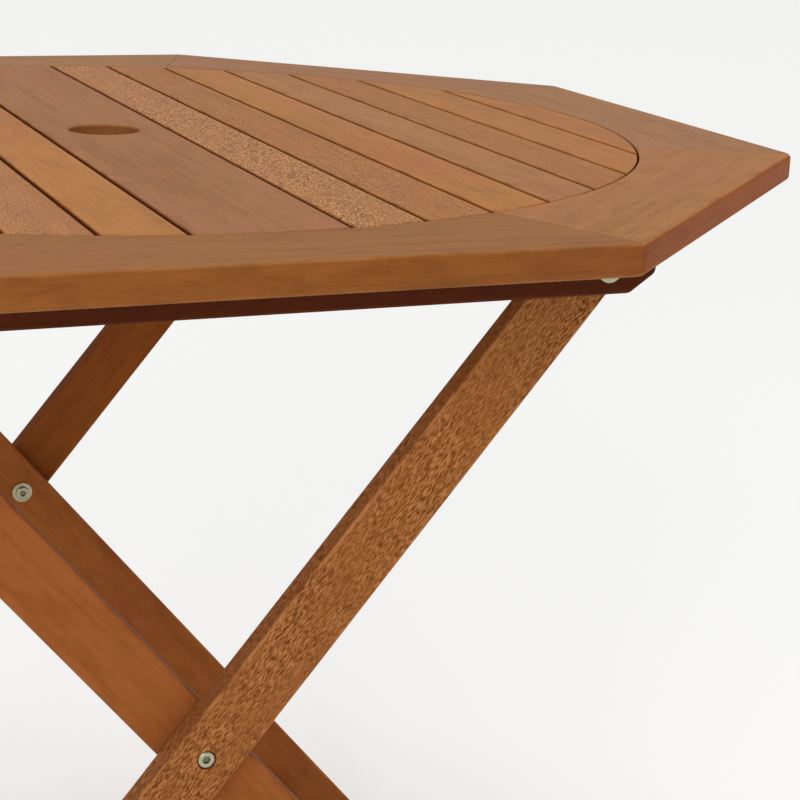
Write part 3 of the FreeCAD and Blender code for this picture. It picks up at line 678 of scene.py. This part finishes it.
# points of a CAD node that lie in one place become one, and its separate solids are told apart: every point
# takes the lowest number among its triangle's points, again and again, until nothing changes
def solids(node):
    mesh = frame["nodes"][node].data
    spots = np.empty(3 * len(mesh.vertices), np.float32)
    mesh.vertices.foreach_get("co", spots)
    corners = np.empty(len(mesh.loops), np.int32)
    mesh.loops.foreach_get("vertex_index", corners)
    spots, back = np.unique(np.round(spots.reshape(-1, 3), 6), axis=0, return_inverse=True)
    corners = back.reshape(-1)[corners].reshape(-1, 3)
    label = np.arange(len(spots))
    while True:
        lowest = label.copy()
        np.minimum.at(lowest, corners.ravel(), np.repeat(label[corners].min(axis=1), 3))
        lowest = lowest[lowest]
        if (lowest == label).all():
            break
        label = lowest
    return [spots[label == number] for number in np.unique(label)]


# washers: flat rings with rounded rims; each closed profile runs out, down, in and up
washers = {"round": 0.00022, "around": 72}


def makeWashers():
    soft = washers["round"]
    for joint in ("rail_pivot", "crossing"):
        for where in ("front", "back"):
            node = f"{joint}_washers_{where}"
            parts = []
            for spots in solids(node):
                low, high = spots.min(axis=0), spots.max(axis=0)
                middle = (low + high) / 2
                aside = np.hypot(spots[:, 0] - middle[0], spots[:, 2] - middle[2])
                tall, wide, hole = high[1] - low[1], aside.max(), aside.min()
                rows = [(0, wide - soft * 1.6, 0), (soft * 0.35, wide - soft * 0.5, 0), (soft, wide, 0),
                        (tall - soft, wide, 0), (tall - soft * 0.35, wide - soft * 0.5, 0),
                        (tall, wide - soft * 1.6, 0), (tall, hole + soft * 1.6, 0),
                        (tall - soft, hole, 0), (soft, hole, 0), (0, hole + soft * 1.6, 0)]
                place = (middle[0], low[1], middle[2])
                parts.append(turnedPoints(rows, place, (0, 1, 0), washers["around"]))
            makeTurned(f"{joint}_washer_set_{where}", bodyOf[node], [node], parts, closed=True)
    print("washers done")


# wood screws: sunk heads with a cross recess, a plain neck, a thread and a sharp tip
screw = {
    "head": 0.0040,
    "headHeight": 0.0026,
    "recess": 0.0021,
    "recessDepth": 0.0014,
    "shank": 0.0020,
    "threadDepth": 0.0006,
    "pitch": 0.0018,
    "neck": 0.0050,
    "tip": 0.0030,
    "tipRadius": 0.0004,
    "around": 32,
}

# the way that each set's screws point, at rest
screwSets = {
    "batten_screws": (0, 0, 1),
    "rail_screws": (0, 0, 1),
    "stop_block_screws": (0, 0, 1),
    "outer_frame_screws": (-math.sin(legAngle), 0, math.cos(legAngle)),
    "inner_frame_screws": (math.sin(legAngle), 0, math.cos(legAngle)),
    "top_bar_screws": (0, -1, 0),
}

# shoulder screws of the hooks: round heads with hexagon sockets
shoulder = {"head": 0.0060, "headHeight": 0.0030, "socket": 0.0018, "socketDepth": 0.0015, "shank": 0.0030,
            "threadDepth": 0.0005, "pitch": 0.0012, "neck": 0.0075, "around": 64}


# rows from the floor of the cross, over the flat head and its cone, along the neck and thread to the tip
def screwRows(look, length):
    wide, tall, arm, deep = look["head"], look["headHeight"], look["recess"], look["recessDepth"]
    rows = [(deep, 0, 1), (deep * 0.98, arm * 0.45, 1), (deep * 0.5, arm * 0.82, 1), (0.00008, arm, 1),
            (0, arm * 1.05, 0.9), (0, wide * 0.80, 0), (0, wide * 0.975, 0), (0.00012, wide * 0.995, 0),
            (0.00030, wide * 0.93, 0), (tall, look["shank"], 0), (look["neck"], look["shank"], 0)]
    start, end = look["neck"] + 0.0004, length - look["tip"]
    rows += threadRows(start, end, look["shank"], look["pitch"])
    rows += [(end, look["shank"] * 0.86, 0), (end + look["tip"] * 0.5, look["shank"] * 0.52, 0),
             (length - 0.0001, look["tipRadius"], 0), (length, 0, 0)]
    return rows, {"pitch": look["pitch"], "start": start, "end": end, "depth": look["threadDepth"]}


# rows from the socket's floor, over the round head, along the plain shoulder and the thread
def shoulderRows(look, length):
    wide, tall, hexa, deep = look["head"], look["headHeight"], look["socket"], look["socketDepth"]
    rows = [(deep + 0.0003, 0, 1), (deep, hexa * 0.97, 1), (0.0003, hexa, 1), (0, hexa * 1.15, 0.6),
            (0, wide * 0.80, 0), (0.00006, wide * 0.87, 0), (0.0003, wide * 0.95, 0), (0.0008, wide, 0),
            (tall - 0.0003, wide, 0), (tall, wide * 0.95, 0), (tall, look["shank"], 0),
            (look["neck"], look["shank"], 0)]
    start, end = look["neck"] + 0.0004, length - 0.0008
    rows += threadRows(start, end, look["shank"], look["pitch"])
    rows += [(end, look["shank"] * 0.9, 0), (length, look["shank"] * 0.7, 0), (length, 0, 0)]
    return rows, {"pitch": look["pitch"], "start": start, "end": end, "depth": look["threadDepth"]}


def makeScrews():
    for node, axis in list(screwSets.items()) + [("hook_shoulder_screws", (0, 1, 0))]:
        parts = []
        look = shoulder if node.startswith("hook") else screw
        for spots in solids(node):
            pointing = np.array(axis, float)
            if pointing[1]:
                pointing = pointing * np.sign(spots[:, 1].mean())
            along = spots @ pointing
            head = along.min()
            crown = spots[along < head + 1e-5].mean(axis=0)
            length = along.max() - head
            rows, thread = (shoulderRows if look is shoulder else screwRows)(look, length)
            reach = hexagonReach if look is shoulder else crossReach
            parts.append(turnedPoints(rows, crown, pointing, look["around"], reach, thread))
        makeTurned(node.replace("screws", "screw_set"), bodyOf[node], [node], parts)
    print("screws done")


# hooks: flat plate, zinc like the bolts but not turned
def finishHooks():
    for where in ("front", "back"):
        paint(f"locking_hook_{where}", zincMaterial(f"hook_{where}", False))
    print("hooks done")


# floor: a plain pale sheet that isn't part of the object
floorLook = {"reach": 60.0, "colour": (0.90, 0.90, 0.89, 1), "roughness": 0.9}


def layFloor():
    reach = floorLook["reach"]
    mesh = bpy.data.meshes.new("floor")
    mesh.from_pydata([(-reach, -reach, 0), (reach, -reach, 0), (reach, reach, 0), (-reach, reach, 0)], [],
                     [(0, 1, 2, 3)])
    floor = bpy.data.objects.new("floor", mesh)
    material, shader, start = freshMaterial("pale_floor")
    shader.inputs["Base Color"].default_value = floorLook["colour"]
    shader.inputs["Roughness"].default_value = floorLook["roughness"]
    mesh.materials.append(material)
    bpy.context.scene.collection.objects.link(floor)


placeCamera()
lightScene()
layFloor()
finishWood()
makeBolts()
makeWashers()
makeScrews()
finishHooks()
